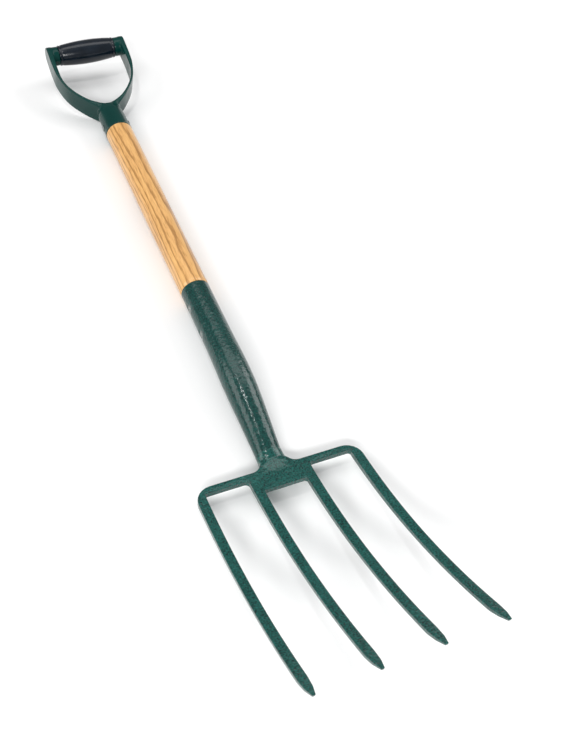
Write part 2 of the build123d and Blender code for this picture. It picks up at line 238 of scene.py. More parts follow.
def join(*shells):
    """Several closed shells as one list of points and faces, every shell facing outwards."""
    points, faces, base = [], [], 0
    for p, fs in shells:
        p = np.asarray(p, float)
        out = signed_volume(p - p.mean(0), fs) >= 0
        faces += [(f if out else f[:, ::-1]) + base for f in fs]
        points.append(p)
        base += len(p)
    return np.concatenate(points), faces


def new_piece(name, shell, material, node, sharp_degrees=40.0):
    """A smooth-shaded mesh object that rides on the fork and stands for a CAD node."""
    points, faces = join(shell)
    mesh = bpy.data.meshes.new(name)
    mesh.from_pydata(placed(points).tolist(), [], [q for f in faces for q in f.tolist()])
    mesh.validate()
    mesh.polygons.foreach_set("use_smooth", np.ones(len(mesh.polygons), bool))
    mesh.set_sharp_from_angle(angle=math.radians(sharp_degrees))
    mesh.materials.append(material)
    piece = bpy.data.objects.new(name, mesh)
    bpy.context.scene.collection.objects.link(piece)
    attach(piece, "root")
    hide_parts(node)


def rounded(corners, radii, arc_step=14.0):
    """A closed path through corners where each corner is swept by an arc of its own radius: the
    arc's centre lies on the corner's bisector, a radius away from both sides."""
    corners = np.asarray(corners, float)
    count = len(corners)
    path = []
    for i, radius in enumerate(radii):
        corner = corners[i]
        if radius <= 0:
            path.append(corner[None])
            continue
        to_last = corners[i - 1] - corner
        to_next = corners[(i + 1) % count] - corner
        to_last /= np.linalg.norm(to_last)
        to_next /= np.linalg.norm(to_next)
        half = math.acos(np.clip(to_last @ to_next, -1, 1)) / 2.0
        start = corner + to_last * radius / math.tan(half)
        bisector = to_last + to_next
        centre = corner + bisector / np.linalg.norm(bisector) * radius / math.sin(half)
        end = corner + to_next * radius / math.tan(half)
        a0 = math.atan2(*(start - centre)[::-1])
        turn = (math.atan2(*(end - centre)[::-1]) - a0 + math.pi) % (2 * math.pi) - math.pi
        steps = max(2, int(abs(math.degrees(turn)) / arc_step) + 1)
        a = a0 + turn * np.linspace(0, 1, steps)
        path.append(centre + radius * np.stack([np.cos(a), np.sin(a)], 1))
    return np.concatenate(path)


def spaced(path, gap, closed=True):
    """The same path with points added so that none are further apart than the gap."""
    following = np.roll(path, -1, 0) if closed else path[1:]
    starts = path if closed else path[:-1]
    far = np.linalg.norm(following - starts, axis=1)
    pieces = [a + (b - a) * np.linspace(0, 1, max(1, math.ceil(d / gap)), endpoint=False)[:, None]
              for a, b, d in zip(starts, following, far) if d > 1e-6]
    if not closed:
        pieces.append(path[-1:])
    return np.concatenate(pieces)


def lathe(profile, segments):
    """Turns a closed or pole-to-pole profile of (radius, y) about the Y axis. A row whose radius
    is nothing becomes one pole point with a fan of triangles."""
    profile = np.asarray(profile, float)
    poles = profile[0, 0] < 1e-9 and profile[-1, 0] < 1e-9
    rows = profile[1:-1] if poles else profile
    a = np.linspace(0, 2 * math.pi, segments, endpoint=False)
    points = np.stack([rows[:, :1] * np.cos(a), np.repeat(rows[:, 1:2], segments, 1),
                       rows[:, :1] * np.sin(a)], 2).reshape(-1, 3)
    faces = [grid_faces(len(rows), segments, wrap_rows=not poles)]
    if poles:
        first, last = len(points), len(points) + 1
        points = np.concatenate([points, [[0, profile[0, 1], 0], [0, profile[-1, 1], 0]]])
        c = np.arange(segments)
        n = (c + 1) % segments
        end = (len(rows) - 1) * segments
        faces.append(np.stack([np.full(segments, first), c, n], 1))
        faces.append(np.stack([np.full(segments, last), end + n, end + c], 1))
    return points, faces


def along_x(shell, y, z):
    """A lathe shell laid along X at a place on the fork."""
    p, faces = shell
    return np.stack([p[:, 1], p[:, 0] + y, p[:, 2] + z], 1), faces


def smooth_step(x, low, high):
    """Rises from 0 to 1 between low and high with level ends."""
    u = np.clip((x - low) / (high - low), 0, 1)
    return u * u * (3 - 2 * u)


def soft_max(a, b, blend):
    """The larger of two heights, with a fillet about as wide as the blend where they cross."""
    u = np.clip(0.5 + 0.5 * (a - b) / blend, 0, 1)
    return b + (a - b) * u + blend * u * (1 - u)


def inside(points, outline):
    """Which points lie inside a closed outline, by counting the sides a ray crosses."""
    x0, y0 = outline.T
    x1, y1 = np.roll(outline, -1, 0).T
    result = []
    for part in np.array_split(points, max(1, len(points) // 1500)):
        x, y = part[:, :1], part[:, 1:]
        spans = (y0 > y) != (y1 > y)
        cross = x0 + (y - y0) / np.where(y1 == y0, 1e-12, y1 - y0) * (x1 - x0)
        result.append((spans & (x < cross)).sum(1) % 2 == 1)
    return np.concatenate(result)


def plate_between(outline, edge, front, back, wanted, wall_rows=4, round_rows=5):
    """Closed skin between two height fields over a plan. Its edge is rounded: at an angle q the
    row lies edge*(1 - sin q) inside the outline and edge*(1 - cos q) below the face. The inner
    area is triangulated through the wanted points."""
    ahead = np.roll(outline, -1, 0) - outline
    ahead /= np.linalg.norm(ahead, axis=1)[:, None]
    both = ahead + np.roll(ahead, 1, 0)
    both /= np.linalg.norm(both, axis=1)[:, None]
    normal = np.stack([both[:, 1], -both[:, 0]], 1)
    x, y = outline.T
    edge = edge * np.ones(len(outline))
    drop_edge = np.minimum(edge, 0.42 * (front(x, y) - back(x, y)))
    q = np.linspace(0, math.pi / 2, round_rows)
    top, low = [], []
    for a in q:
        p = outline - normal * edge[:, None] * (1 - math.sin(a))
        drop = drop_edge * (1 - math.cos(a))
        top.append(np.column_stack([p, front(*p.T) - drop]))
        low.append(np.column_stack([p, back(*p.T) + drop]))
    walls = [top[-1] + (low[-1] - top[-1]) * s for s in np.linspace(0, 1, wall_rows + 2)[1:-1]]
    rows = np.array(top + walls + low[::-1])
    count = len(outline)
    rim = top[0][:, :2]
    wanted = wanted[inside(wanted, rim)]
    flat = np.concatenate([rim, wanted])
    sides = [(i, (i + 1) % count) for i in range(count)]
    _, _, tris, origin, _, _ = delaunay_2d_cdt([Vector(v) for v in flat], sides, [], 0, 1e-6)
    index = np.array([o[0] if o else -1 for o in origin])
    tris = index[np.array([t for t in tris if len(t) == 3])]
    tris = tris[(tris >= 0).all(1)]
    tris = tris[inside(flat[tris].mean(1), rim)]
    spread = flat[tris]
    u, v = spread[:, 1] - spread[:, 0], spread[:, 2] - spread[:, 0]
    area = u[:, 0] * v[:, 1] - u[:, 1] * v[:, 0]
    tris = np.where(area[:, None] > 0, tris, tris[:, ::-1])[np.abs(area) > 1e-7]
    body = rows.reshape(-1, 3)
    last = (len(rows) - 1) * count
    front_in = np.column_stack([wanted, front(*wanted.T)])
    back_in = np.column_stack([wanted, back(*wanted.T)])
    points = np.concatenate([body, front_in, back_in])
    to_front = np.concatenate([np.arange(count), len(body) + np.arange(len(wanted))])
    to_back = np.concatenate([last + np.arange(count),
                              len(body) + len(wanted) + np.arange(len(wanted))])
    faces = [grid_faces(len(rows), count), to_front[tris], to_back[tris][:, ::-1]]
    return points, faces


# ---------------------------------------------------------------- shapes
def parabola(y, start, end, start_slope, end_slope):
    """Height and slope of the parabola that leaves start and reaches end with given slopes; y
    falls from start to end. It is a curve with one control point, solved for its own parameter."""
    reach = start[0] - end[0]
    lean = (end[1] - start[1] - end_slope * reach) / (start_slope - end_slope)
    mid = (start[0] - lean, start[1] + start_slope * lean)
    a = start[0] - 2 * mid[0] + end[0]
    b = 2 * (mid[0] - start[0])
    root = np.sqrt(np.maximum(b * b - 4 * a * (start[0] - y), 0))
    u = np.clip((-b - root) / (2 * a) if abs(a) > 1e-9 else (y - start[0]) / b, 0, 1)
    z = (1 - u) ** 2 * start[1] + 2 * u * (1 - u) * mid[1] + u * u * end[1]
    dz = 2 * (1 - u) * (mid[1] - start[1]) + 2 * u * (end[1] - mid[1])
    dy = 2 * (1 - u) * (mid[0] - start[0]) + 2 * u * (end[0] - mid[0])
    return z, -dz / dy


UNDER_WELD = 3.0        # the head's neck runs on this far under the weld
OUTLINE_GAP = 2.2       # between points of the head's outline
HEAD_GRID = 1.25        # between points of its centre plate


def head_outline(h, neck_half):
    """The head seen from the front: neck, crossbar and four pointed tines."""
    def side_x(root_x, tip_x, y, side):
        run = (h.back_y - y) / h.tine_length
        half = (h.tine_width_root + (h.tine_width_tip - h.tine_width_root) * run) / 2.0
        return root_x + (tip_x - root_x) * run + side * half

    def tine(root_x, tip_x, out_y, in_y, out_r, in_r):
        taper_y = h.tip_y + h.point_length
        bend_y = h.tip_y + bend_place * h.point_length
        end = h.point_width / 2.0
        bend = end + bend_width * (h.tine_width_tip / 2.0 - end)
        return [
            (side_x(root_x, tip_x, out_y, 1), out_y, out_r),
            (side_x(root_x, tip_x, taper_y, 1), taper_y, taper_r),
            (tip_x + bend, bend_y, bend_r), (tip_x + end, h.tip_y, end_r),
            (tip_x - end, h.tip_y, end_r), (tip_x - bend, bend_y, bend_r),
            (side_x(root_x, tip_x, taper_y, -1), taper_y, taper_r),
            (side_x(root_x, tip_x, in_y, -1), in_y, in_r)]

    bend_place, bend_width = 0.45, 0.7          # the point bends here: shares of length and width
    taper_r, bend_r, end_r = 14.0, 9.0, 1.0     # where the point begins, bends and ends
    crotch_r, stem_r = 3.0, 5.0     # at a tine's inner side, and at an inner tine's outer side
    bar_y, plate_y = h.back_y - h.crossbar_width, h.back_y - h.plate_width
    half = [(neck_half, h.neck_y + UNDER_WELD, 0.0), (neck_half, h.back_y, h.neck_fillet)]
    half += tine(h.outer_tine_x, h.outer_tip_x, h.back_y, bar_y, h.shoulder_radius, crotch_r)
    half += tine(h.inner_tine_x, h.inner_tip_x, bar_y, plate_y, stem_r, crotch_r)
    half = np.array(half)
    mirrored = half[::-1] * [-1, 1, 1]
    whole = np.concatenate([mirrored, half])[::-1]
    return spaced(rounded(whole[:, :2], whole[:, 2]), OUTLINE_GAP)


def forged_head():
    """Forging: the face is a parabola along the fork, the back lies one tine thickness behind it,
    and the neck is an oval whose front and back melt into the plate."""
    h, t, _ = all_sizes()
    start = (h.back_y + h.face_start, h.face_z)
    end = (h.tip_y, h.face_z + h.tip_rise)
    slopes = math.tan(h.root_angle), math.tan(h.tip_angle)
    point_swell = 1.15              # the point has its full thickness a little short of its root
    fade_from, fade_to = 6.0, 15.0  # behind the crossbar the plate fades out inside the neck
    least = 0.2                     # half thickness left of the plate, and rise left of the neck
    sink_from, sink_to = 4.0, 5.0 + h.neck_length + h.neck_root     # the neck sinks into the plate
    widening = 2.0                  # the neck grows this much wider as it sinks
    keel_share = 0.8                # of the plate's half thickness, where the neck's back ends
    side_fall = 9.0                 # how fast the neck's surface drops away past its sides
    neck_reach, plate_margin = 2.4, 1.0     # the neck counts no further out, nor nearer the tines
    fillet, no_fillet = 6.5, 1e-6   # where neck and plate cross
    far_below = -1e3                # the neck's height where it counts for nothing

    def blade(y):
        z, slope = parabola(y, start, end, *slopes)
        run = np.clip((h.back_y - y) / h.tine_length, 0, 1)
        thick = h.tine_thick_root + (h.tine_thick_tip - h.tine_thick_root) * run * (2 - run)
        to_tip = np.clip((y - h.tip_y) / h.point_length, 0, 1)
        thick = h.point_thick + (thick - h.point_thick) * np.minimum(1, to_tip * point_swell)
        return z, thick * np.sqrt(1 + slope * slope)

    def both(x, y):
        face, thick = blade(y)
        faded = 1 - smooth_step(y, h.back_y + fade_from, h.back_y + fade_to)
        middle = face - thick / 2.0
        middle = middle + (h.neck_z - middle) * (1 - faded)
        half = np.maximum(thick / 2.0 * faded, least)
        into = -t.socket_length - y
        sunk = smooth_step(into, sink_from, sink_to)
        centre = h.neck_z + (middle - h.neck_z) * sunk
        crown = h.neck_z + t.neck_half_depth - neck_slope(t) * into
        keel = h.neck_z - t.neck_half_depth
        keel = keel + (middle - keel_share * half - keel) * sunk
        off = np.abs(x) / (t.neck_half_width + widening * sunk)
        arch = np.sqrt(np.clip(1 - off * off, 0, 1))
        outside = side_fall * np.clip(off - 1, 0, 1)
        rise = np.maximum(crown - centre, least) * arch - outside
        fall = (centre - keel) * arch - outside
        no_neck = ((np.abs(x) > neck_reach * t.neck_half_width)
                   | (y < h.back_y - h.plate_width + plate_margin))
        blend = np.where(no_neck, no_fillet, fillet)
        top = soft_max(middle + half, np.where(no_neck, far_below, centre + rise), blend)
        low = -soft_max(half - middle, np.where(no_neck, far_below, fall - centre), blend)
        return top, low

    outline = head_outline(h, t.neck_half_width)
    least_edge = 0.45       # share of the edge rounding that is left at the tips
    near_tip = np.clip((outline[:, 1] - h.tip_y) / h.point_length, least_edge, 1)
    plate_half = 40.0       # the centre plate and its neck lie within this much of the middle
    gx, gy = np.meshgrid(
        np.arange(-plate_half, plate_half + 0.1, HEAD_GRID),
        np.arange(h.back_y - h.plate_width, h.neck_y + UNDER_WELD, HEAD_GRID))
    wanted = np.column_stack([gx.ravel(), gy.ravel()])
    return plate_between(outline, h.edge_round * near_tip, lambda x, y: both(x, y)[0],
                         lambda x, y: both(x, y)[1], wanted)


def tube_centre(t, y):
    """Centre line of the socket: straight, then an easy bend down to the neck."""
    run = np.clip(-y - t.straight, 0, None) / (t.socket_length - t.straight)
    return -t.neck_drop * run * run * (3.0 - run) / 2.0


def tube_half(t, y):
    """Half width and half depth of the socket: mouth radius, a bell-shaped swell, then necking."""
    along = -y / t.socket_length
    slimming = 0.3          # radius lost from mouth to weld, besides the necking
    bell = np.exp(-((-y - t.swell_at) / t.swell_reach) ** 2)
    full = t.mouth_d / 2 - slimming * along + t.swell * bell
    past = np.clip(-y - t.swell_at, 0, None) / (t.socket_length - t.swell_at)
    late = 1.6              # the necking starts gently and ends steeply
    necking = past ** late
    return (full + (t.neck_half_width - t.mouth_d / 2) * necking,
            full + (t.neck_half_depth - t.mouth_d / 2) * necking)


def neck_slope(t):
    """How steeply the crown of the socket still falls where it meets the weld."""
    base = 4.0              # length of tube that the slope is taken over
    ends = np.array([-t.socket_length, -t.socket_length + base])
    crowns = tube_centre(t, ends) + tube_half(t, ends)[1]
    return (crowns[1] - crowns[0]) / (ends[1] - ends[0])


DIMPLE_REACH = 0.62     # radius of a dimple, as a share of the rivet head's diameter


def tube_rows(t, y, inset, a, dimpled=False):
    """Rings of an oval tube: each ring is (half width * cos, y, centre + half depth * sin), drawn
    in by the inset and, round the rivets, by a round dimple."""
    wide, deep = tube_half(t, y)
    x = (wide - inset)[:, None] * np.cos(a)
    z = tube_centre(t, y)[:, None] + (deep - inset)[:, None] * np.sin(a)
    if dimpled:
        for place in (t.rivet_upper, t.rivet_lower):
            far = np.sqrt((y[:, None] + place) ** 2 + z * z) / (DIMPLE_REACH * t.rivet_head_d)
            x = x - np.sign(np.cos(a)) * t.dimple * np.exp(-far ** 4) * (np.abs(x) > wide.min() / 2)
    return np.stack([x, np.repeat(y[:, None], len(a), 1), z], 2)


def socket_tube():
    """Tube with a rolled mouth: outside from neck to mouth, round the lip, and back inside."""
    _, t, _ = all_sizes()
    a = np.linspace(0, 2 * math.pi, 192, endpoint=False)
    y = np.linspace(-t.socket_length, -t.wall / 2, 230)
    outside = tube_rows(t, y, np.zeros_like(y), a, dimpled=True)
    q = np.linspace(0, math.pi, 9)[1:-1]
    lip = tube_rows(t, -t.wall / 2 + t.wall / 2 * np.sin(q), t.wall / 2 * (1 - np.cos(q)), a)
    inner_y = y[::-6]       # the hidden inside needs fewer rings
    within = tube_rows(t, inner_y, np.full_like(inner_y, t.wall), a)
    rows = np.concatenate([outside, lip, within])
    return rows.reshape(-1, 3), [grid_faces(len(rows), len(a), wrap_rows=True)]


def weld_bead():
    """Ring of weld, ground low: its height over the tube is a half sine across its width, and its
    crown falls at the slope of the socket's crown."""
    h, t, _ = all_sizes()
    edge_proud, root = 0.02, 1.5    # the weld's edges stand this proud, and it bites this deep
    a = np.linspace(0, 2 * math.pi, 160, endpoint=False)
    u = np.linspace(0, 1, 13)
    y = h.neck_y + t.weld_width * u
    crown = edge_proud + t.weld_proud * np.sin(math.pi * u)
    flat = np.clip(y, -t.socket_length, None)
    outside = tube_rows(t, flat, -crown, a)
    outside[:, :, 1] = y[:, None]
    within = tube_rows(t, flat[::-1], np.full_like(u, root), a)
    within[:, :, 1] = y[::-1, None]
    rows = np.concatenate([outside, within])
    into = -t.socket_length - rows[:, :, 1]
    rows[:, :, 2] -= neck_slope(t) * into * np.clip(np.sin(a), 0, None)
    return rows.reshape(-1, 3), [grid_faces(len(rows), len(a), wrap_rows=True)]


def turned_shaft():
    """Ash shaft: a lathe profile with tenon, bare length and spigot, ends chamfered."""
    _, t, g = all_sizes()
    low, high = t.mouth_d / 2, g.shaft_d_high / 2
    tenon_play, spigot_play, gap = 0.4, 0.3, 0.1    # round tenon and spigot, and at the shoulders
    edge = 0.5                                      # broken edge of the wood at the socket's mouth
    taper, lead_in, lead_length, spigot_chamfer = 1.6, 3.4, 4.0, 2.0
    tenon = low - t.wall - tenon_play
    tip = tenon - taper
    spigot = high - g.collar_wall - spigot_play
    far_end = g.shaft_exposed + g.spigot_depth
    corners = [(0, -g.tenon_depth), (tip - lead_in, -g.tenon_depth),
               (tip, lead_length - g.tenon_depth), (tenon, -gap), (low - edge, -gap), (low, edge),
               (high, g.shaft_exposed - gap), (spigot, g.shaft_exposed - gap),
               (spigot, far_end - spigot_chamfer), (spigot - spigot_chamfer, far_end), (0, far_end)]
    return lathe(spaced(np.array(corners, float), 6.0, closed=False), 160)


SHANK_R = 2.5           # of the rivets and of the pin


def rivet(half, head_r, crown):
    """Rivet or pin lying along its own axis: shank, and at each end a head domed by a sine."""
    bevel_width, bevel_depth = 0.4, 0.5     # under the rim of a head
    q = np.linspace(0, math.pi / 2, 8)
    dome = np.stack([head_r * np.cos(q), half - crown + crown * np.sin(q)], 1)[:-1]
    right = np.concatenate([[[SHANK_R, half - crown - 2 * bevel_depth]],
                            [[head_r - bevel_width, half - crown - bevel_depth]],
                            dome, [[0, half]]])
    left = right[::-1] * [1, -1]
    return lathe(np.concatenate([left, right]), 48)


def socket_rivet(place):
    """One rivet through the socket, its domed heads down in the dimples."""
    _, t, _ = all_sizes()
    sunk = 0.45             # the crown lies this much inside the tube's own outline
    wide = float(tube_half(t, np.array([-place]))[0][0])
    return along_x(rivet(wide - sunk, t.rivet_head_d / 2, crown=1.0), -place, 0.0)


def collar_pin():
    """Pin through collar and spigot with low domed heads."""
    _, _, g = all_sizes()
    shell = rivet(g.collar_r + g.pin_proud, g.pin_head_d / 2, crown=0.9)
    return along_x(shell, g.shaft_exposed + g.pin_above_rim, 0.0)


def sleeve():
    """Soft barrel with a raised rim and a groove at each end: the middle is an arc of a circle."""
    _, _, g = all_sizes()
    end, mid = g.sleeve_end_r, g.sleeve_mid_r
    fit, band = 0.1, 4.2                    # play against the stubs, and groove and rim together
    groove_depth, rim_depth = 0.6, 0.1      # below the ends of the barrel
    half = g.bar_half - fit
    barrel = half - band
    x = np.linspace(-barrel, barrel, 61)
    big = (barrel ** 2 + (mid - end) ** 2) / (2 * (mid - end))
    arc = np.column_stack([mid - big + np.sqrt(big * big - x * x), x])
    rim = [(end - groove_depth, barrel + 0.5), (end - groove_depth, barrel + 1.5),
           (end - rim_depth, barrel + 2.0), (end - rim_depth, half), (g.sleeve_bore_r, half)]
    corners = [(r, -v) for r, v in rim[::-1]] + [tuple(v) for v in arc] + rim
    soft, tight = 0.7, 0.2                  # rounding of the outer edge, and of the groove's
    ends = [0, soft] + [tight] * 4
    path = rounded(np.array(corners), ends + [0] * (len(arc) - 2) + ends[::-1], arc_step=25.0)
    return along_x(lathe(path, 128), g.grip_y, g.grip_z)


def blended(shells, voxel_mm, passes, melt):
    """Melts overlapping closed shells into one skin: they are remeshed on a fine grid, then every
    point is drawn towards the middle of its neighbours and a little back again, which rounds
    edges and fills corners but keeps the size. Where melt, a share from 0 to 1 for each point, is
    above 0 the points are drawn in again, which leaves a wider fillet there."""
    points, faces = join(*shells)
    mesh = bpy.data.meshes.new("blank")
    mesh.from_pydata((points * MM).tolist(), [], [q for f in faces for q in f.tolist()])
    blank = bpy.data.objects.new("blank", mesh)
    bpy.context.scene.collection.objects.link(blank)
    remesh = blank.modifiers.new("skin", "REMESH")
    remesh.mode = "VOXEL"
    remesh.voxel_size = voxel_mm * MM
    skin = bpy.data.meshes.new_from_object(
        blank.evaluated_get(bpy.context.evaluated_depsgraph_get()))
    bpy.data.objects.remove(blank)
    p = np.empty(len(skin.vertices) * 3)
    skin.vertices.foreach_get("co", p)
    p = p.reshape(-1, 3) / MM
    e = np.empty(len(skin.edges) * 2, np.int32)
    skin.edges.foreach_get("vertices", e)
    a, b = e.reshape(-1, 2).T
    degree = np.bincount(np.concatenate([a, b]), minlength=len(p)).astype(float)[:, None]
    inward, outward, melting = 0.55, -0.50, 0.5     # shares of the way to the neighbours' middle

    def drawn(p, weight):
        total = np.stack([np.bincount(a, p[b, k], len(p)) + np.bincount(b, p[a, k], len(p))
                          for k in range(3)], 1)
        return p + weight * (total / degree - p)

    for _ in range(passes):
        p = drawn(drawn(p, inward), outward)
    share = melt(p)[:, None]
    for _ in range(2 * passes):
        p = drawn(p, melting * share)
    sides = np.empty(len(skin.loops), np.int32)
    skin.loops.foreach_get("vertex_index", sides)
    quads = sides.reshape(-1, 4)
    bpy.data.meshes.remove(skin)
    return p, [quads]


def curve_through(points, count):
    """Smooth curve through a few points: cubic pieces whose slope at each point is that of the
    line between its neighbours."""
    p = np.asarray(points, float)
    slope = np.gradient(p, axis=0)
    u = np.linspace(0, len(p) - 1 - 1e-9, count)
    i = u.astype(int)
    s = (u - i)[:, None]
    return ((2 * s ** 3 - 3 * s ** 2 + 1) * p[i] + (s ** 3 - 2 * s ** 2 + s) * slope[i]
            + (3 * s ** 2 - 2 * s ** 3) * p[i + 1] + (s ** 3 - s ** 2) * slope[i + 1])


STRAP_GRID = 1.6        # between points of the straps' outline and skin
TURNED_GAP = 2.0        # between points of the profiles turned for the grip
TURNED_SIDES = 128      # of those turned pieces


def strap_plan(g):
    """The straps seen square to the tilted frame: smooth curves through a few places, given as
    shares of the half width and of the height, and straight sides up to the round tops."""
    outer = np.array([(1, 0), (1, .21), (.97, .40), (.83, .62), (.55, .815), (.30, .94)])
    outer = np.concatenate([outer * [g.half_width, -g.frame_low], [[g.web_half, -g.frame_low]]])
    inner = np.array([(.984, 0), (1.016, .283), (.98, .54), (.765, .75), (.42, .92), (0, 1)])
    inner = inner * [g.half_width - g.arm_thick, -g.hole_low]
    mirror = [-1, 1]
    out_curve = curve_through(outer, 90)
    in_curve = curve_through(np.concatenate([inner, inner[-2::-1] * mirror]), 180)
    top_gap = 0.02          # the sides stop this short of the top, where the strap has no depth
    up = np.linspace(0, g.lug_radius - top_gap, 16)[1:]

    def upright(x, heights):
        return np.column_stack([np.full(len(up), x), heights])

    path = np.concatenate([
        upright(g.half_width, up[::-1]), out_curve, (out_curve * mirror)[::-1],
        upright(-g.half_width, up), upright(-inner[0, 0], up[::-1]), in_curve[::-1],
        upright(inner[0, 0], up)])
    area = (path[:, 0] * np.roll(path[:, 1], -1) - np.roll(path[:, 0], -1) * path[:, 1]).sum()
    return spaced(path if area > 0 else path[::-1], STRAP_GRID)


def frame_straps(g):
    """Two deep straps as a skin between height fields: half the depth grows evenly down from the
    lugs and then stays level, and above the hand bar it is the height of a circle."""
    full_from = 0.785       # share of the frame's height where the straps reach their full depth
    least_square = 0.02     # keeps a little depth at the very top
    edge, wall_rows = 1.2, 12

    def height(x, v):
        down = np.clip(-v / (full_from * g.frame_low), 0, 1)
        full = g.lug_radius + (g.depth / 2 - g.lug_radius) * down
        square = g.lug_radius ** 2 - np.clip(v, 0, None) ** 2
        return np.where(v > 0, np.sqrt(np.clip(square, least_square, None)), full)

    side, foot, head = 56.0, -116.0, 13.6       # the grid's reach, about that of the frame
    gx, gv = np.meshgrid(np.arange(-side, side + 0.1, STRAP_GRID), np.arange(foot, head, STRAP_GRID))
    wanted = np.column_stack([gx.ravel(), gv.ravel()])
    p, faces = plate_between(strap_plan(g), edge, height, lambda x, v: -height(x, v), wanted,
                             wall_rows=wall_rows)
    c, s = math.cos(g.frame_tilt), math.sin(g.frame_tilt)
    return (np.column_stack([p[:, 0], g.grip_y + p[:, 1] * c - p[:, 2] * s,
                             g.grip_z + p[:, 1] * s + p[:, 2] * c]), faces)


def frame_collar(g):
    """Collar turned on the shaft line, with a bead round its rim and a bore for the spigot."""
    rim, bore, lip = g.shaft_exposed, g.collar_r - g.collar_wall, g.collar_r + g.collar_lip
    play, edge, bead, run_out = 0.3, 0.3, 1.6, 3.0
    solid_y, top_y = rim + g.spigot_depth + play, rim + g.collar_length
    profile = np.array([(0, solid_y), (bore, solid_y), (bore, rim), (lip - edge, rim),
                        (lip, rim + edge), (lip, rim + bead), (g.collar_r, rim + run_out),
                        (g.collar_top_r, top_y), (0, top_y)], float)
    return lathe(spaced(profile, TURNED_GAP, closed=False), TURNED_SIDES)


def frame_nose(g, web_y, web_z):
    """Nose from the collar to the foot of the hand opening: ovals whose half width and half depth
    shrink with the square of the way up."""
    overlap, short = 1.0, 0.3           # it starts inside the collar and stops short of the web
    low_y = g.shaft_exposed + g.collar_length - overlap
    u = np.linspace(0, 1, 18)[:, None]
    a = np.linspace(0, 2 * math.pi, TURNED_SIDES, endpoint=False)
    wide = g.collar_top_r - g.nose_inset * u ** 2
    deep = g.collar_top_r - (g.collar_top_r - web_z) * u ** 2
    ring_y = low_y + (web_y - short - low_y) * u
    rings = np.stack([wide * np.cos(a), np.repeat(ring_y, len(a), 1), deep * np.sin(a)], 2)
    ends = np.array([[0, low_y, 0], [0, web_y - short, 0]])
    count, last, n = len(a), (len(u) - 1) * len(a), rings.size // 3
    k = np.arange(count)
    return (np.concatenate([rings.reshape(-1, 3), ends]),
            [grid_faces(len(u), count),
             np.stack([np.full(count, n), k, (k + 1) % count], 1),
             np.stack([np.full(count, n + 1), last + (k + 1) % count, last + k], 1)])


def hand_bar(g):
    """Hand bar turned along X: a stub against each arm, and the sleeve's core between them."""
    fit, edge = 0.1, 0.6
    stub, bar = g.boss_radius, g.sleeve_bore_r - fit
    x_in, x_out = g.bar_half, g.half_width - g.arm_thick / 3
    across = np.array([(0, -x_out), (stub, -x_out), (stub, -x_in - edge), (stub - edge, -x_in),
                       (bar, -x_in), (bar, x_in), (stub - edge, x_in), (stub, x_in + edge),
                       (stub, x_out), (0, x_out)], float)
    return along_x(lathe(spaced(across, TURNED_GAP, closed=False), TURNED_SIDES),
                   g.grip_y, g.grip_z)


def grip_frame():
    """Moulded frame: straps, collar, nose and hand bar melted into one skin, with wider fillets
    where the straps leave the collar."""
    _, _, g = all_sizes()
    c, s = math.cos(g.frame_tilt), math.sin(g.frame_tilt)
    web_y = g.grip_y - g.hole_low * c - g.depth / 2 * s
    web_z = g.grip_z - g.hole_low * s + g.depth / 2 * c
    plug_y = g.shaft_exposed + g.spigot_depth + 1.5     # the fillets' melting sets in from here
    collar_y = g.shaft_exposed + g.collar_length + 4.0  # and is full from here
    under_web, over_web = 5.0, 4.0  # it fades out across the foot of the hand opening
    near, far = 20.0, 34.0          # and between these distances from the middle
    voxel, passes = 0.8, 18

    def crotch(p):
        above = smooth_step(p[:, 1], plug_y, collar_y)
        below = 1 - smooth_step(p[:, 1], web_y - under_web, web_y + over_web)
        return above * below * (1 - smooth_step(np.abs(p[:, 0]), near, far))

    shells = [frame_straps(g), frame_collar(g), frame_nose(g, web_y, web_z), hand_bar(g)]
    return blended(shells, voxel, passes, crotch)


# ---------------------------------------------------------------- finishes
def linear(hex_colour):
    """An sRGB hex value as linear red, green, blue and full opacity."""
    parts = [int(hex_colour[i:i + 2], 16) / 255.0 for i in (1, 3, 5)]
    return tuple(v / 12.92 if v <= 0.04045 else ((v + 0.055) / 1.055) ** 2.4 for v in parts) + (1.0,)


def per(size_mm):
    """Pattern scale that repeats about once in the given real size."""
    return 1.0 / (size_mm * MM)


def add(tree, kind, sockets=None, stops=(), **settings):
    """Adds one node: settings are its own options, sockets give each input a value, a link or the
    node whose first output it takes, and stops are a ramp's places and linear colours."""
    made = tree.nodes.new(kind)
    for name, value in settings.items():
        setattr(made, name, value)
    for name, value in (sockets or {}).items():
        if isinstance(value, bpy.types.Node):
            value = value.outputs[0]
        if isinstance(value, bpy.types.NodeSocket):
            tree.links.new(value, made.inputs[name])
        else:
            made.inputs[name].default_value = value
    if stops:
        steps = made.color_ramp.elements
        steps[0].position, steps[1].position = stops[0][0], stops[-1][0]
        steps[0].color, steps[1].color = stops[0][1], stops[-1][1]
        for place, colour in stops[1:-1]:
            steps.new(place).color = colour
    return made


def grey(level):
    """A neutral ramp colour."""
    return (level, level, level, 1.0)


def shade(colour, share):
    """A linear colour made paler or darker by a share, with full opacity."""
    return tuple(min(1.0, v * share) for v in colour[:3]) + (1.0,)


def new_finish(name):
    """An empty material, its nodes and the object's own coordinates."""
    material = bpy.data.materials.new(name)
    material.use_nodes = True
    tree = material.node_tree
    tree.nodes.clear()
    return material, tree, add(tree, "ShaderNodeTexCoord").outputs["Object"]


def shaded(material, sockets):
    """Closes a material with its shader, whose sockets take values or links."""
    shader = add(material.node_tree, "ShaderNodeBsdfPrincipled", sockets)
    add(material.node_tree, "ShaderNodeOutputMaterial", {"Surface": shader})
    return material


